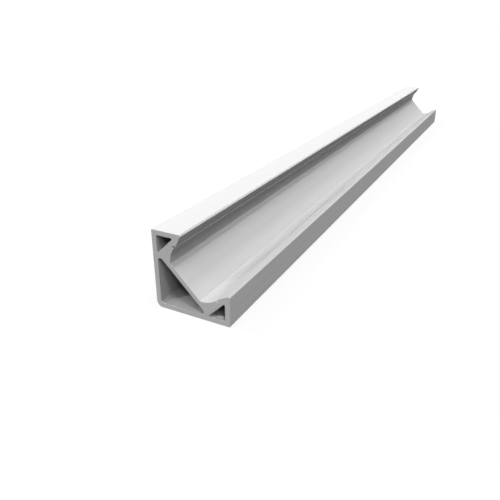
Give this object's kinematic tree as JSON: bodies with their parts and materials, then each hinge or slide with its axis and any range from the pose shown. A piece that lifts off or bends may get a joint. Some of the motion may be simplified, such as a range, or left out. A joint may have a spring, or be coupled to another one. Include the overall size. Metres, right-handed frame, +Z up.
{
  "type": "corner LED strip profile",
  "caption": "Short length of extruded aluminium corner profile: square legs, a diagonal bed for an LED strip, lips with snap grooves for a cover, and hollows behind.",
  "frame": {"origin": "centre of the bounding box at its bottom, on the outer face of the lower leg", "axes": "+Y along the length, +Z up from the lower leg, -X out of the upright leg, so the open channel faces +X and +Z"},
  "size_m": [0.016, 0.205, 0.016],
  "materials": {
    "anodised_aluminium": "satin silver anodised, with fine extrusion lines along the length and saw-cut ends"
  },
  "bodies": {
    "root": {"corner_profile": "anodised_aluminium"}
  },
  "joints": []
}
